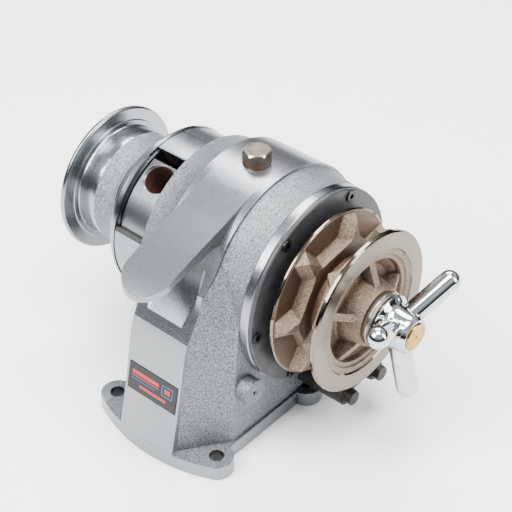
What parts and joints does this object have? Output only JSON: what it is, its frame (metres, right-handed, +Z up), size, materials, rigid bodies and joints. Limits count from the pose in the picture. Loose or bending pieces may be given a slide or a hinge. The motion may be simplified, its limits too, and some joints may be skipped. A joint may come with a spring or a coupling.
{
  "type": "anchor windlass",
  "caption": "Hand-worked horizontal anchor windlass: cast body on a four-bolt foot, lever ring with ratchets, chain gypsy with clutch nut, and warping drum.",
  "frame": {"origin": "centre of the four deck bolts, on the underside of the foot", "axes": "+X along the shaft towards the chain gypsy, +Y away from the operator (towards the anchor), +Z up"},
  "size_m": [0.297, 0.207, 0.2017],
  "materials": {
    "cast_alloy": "sand-cast and satin anodised",
    "machined_alloy": "machined",
    "polished_alloy": "polished and satin",
    "black_anodised": "satin black",
    "black_steel": "black oxide",
    "nickel_steel": "nickel plated",
    "steel": "ground",
    "dark_iron": "dark grey",
    "nickel_bronze": "nickel-plated bronze, cast pockets and polished rims",
    "bronze": "plain bearing bronze",
    "chrome": "mirror chrome",
    "brass": "turned",
    "black_rubber": "black",
    "label": "printed label with plain coloured bars"
  },
  "bodies": {
    "frame": {"main_housing": "cast_alloy", "label_plate": "label", "end_cover": "machined_alloy", "end_gasket": "black_rubber", "slot_seal": "black_rubber", "lever_stop_block": "cast_alloy", "side_cover": "machined_alloy", "cover_gasket": "black_rubber", "retaining_ring": "black_anodised", "cover_screws": "black_steel", "filler_plug": "nickel_steel", "plug_washer": "nickel_steel", "level_plug": "steel", "stripper_bracket": "dark_iron", "stripper_finger": "dark_iron", "stripper_washers": "dark_iron", "stripper_bolts": "dark_iron", "pawl_plate": "steel", "pawl_plate_screws": "steel", "holding_pawl_pins": "steel", "holding_pawl_springs": "steel", "drum_side_bush": "bronze", "drum_side_seal": "black_rubber", "gypsy_side_bush": "bronze", "gypsy_side_seal": "black_rubber"},
    "lever": {"lever_hub": "polished_alloy", "lever_bush": "bronze", "drive_pawl_pins": "steel", "drive_pawl_springs": "steel"},
    "shaft": {"main_shaft": "steel", "drive_ratchet": "steel", "holding_ratchet": "steel", "shaft_spacers": "steel", "drum_key": "steel", "ratchet_key": "steel", "inner_clutch_key": "steel", "outer_clutch_key": "steel", "warping_drum": "polished_alloy", "drum_end_washer": "steel", "drum_end_screw": "steel", "inner_clutch_cone": "bronze"},
    "gypsy": {"chain_gypsy": "nickel_bronze", "gypsy_bush": "bronze"},
    "clutch": {"outer_clutch_cone": "nickel_bronze", "thrust_washer": "steel"},
    "nut": {"clutch_nut": "chrome", "nut_end_cap": "brass"},
    "drive_pawl_a": {"drive_pawl_1": "steel"},
    "drive_pawl_b": {"drive_pawl_2": "steel"},
    "hold_pawl_a": {"holding_pawl_1": "steel"},
    "hold_pawl_b": {"holding_pawl_2": "steel"}
  },
  "joints": [
    {"name": "lever_swing", "type": "hinge", "parent": "frame", "child": "lever", "pos_m": [-0.0653, 0.052, 0.111], "axis": [1, 0, 0], "range_deg": [-7.5, 30]},
    {"name": "shaft_turn", "type": "hinge", "parent": "frame", "child": "shaft", "pos_m": [0, 0.052, 0.111], "axis": [1, 0, 0], "continuous": true},
    {"name": "gypsy_turn", "type": "hinge", "parent": "shaft", "child": "gypsy", "pos_m": [0.086, 0.052, 0.111], "axis": [1, 0, 0], "continuous": true},
    {"name": "clutch_slide", "type": "slide", "parent": "shaft", "child": "clutch", "axis": [1, 0, 0], "range_m": [0, 0.0025]},
    {"name": "nut_turn", "type": "hinge", "parent": "clutch", "child": "nut", "pos_m": [0.128, 0.052, 0.111], "axis": [1, 0, 0], "range_deg": [0, 359]},
    {"name": "drive_pawl_1_tilt", "type": "hinge", "parent": "lever", "child": "drive_pawl_a", "pos_m": [-0.0325, 0.09523, 0.12673], "axis": [1, 0, 0], "range_deg": [0, 8]},
    {"name": "drive_pawl_2_tilt", "type": "hinge", "parent": "lever", "child": "drive_pawl_b", "pos_m": [-0.0325, 0.00877, 0.09527], "axis": [1, 0, 0], "range_deg": [0, 8]},
    {"name": "holding_pawl_1_tilt", "type": "hinge", "parent": "frame", "child": "hold_pawl_a", "pos_m": [-0.0085, 0.09523, 0.12673], "axis": [1, 0, 0], "range_deg": [0, 8]},
    {"name": "holding_pawl_2_tilt", "type": "hinge", "parent": "frame", "child": "hold_pawl_b", "pos_m": [-0.0085, 0.00877, 0.09527], "axis": [1, 0, 0], "range_deg": [0, 8]}
  ],
  "couplings": [
    {"joint": "clutch_slide", "follows": "nut_turn", "m_per_rad": 0.00039789}
  ]
}
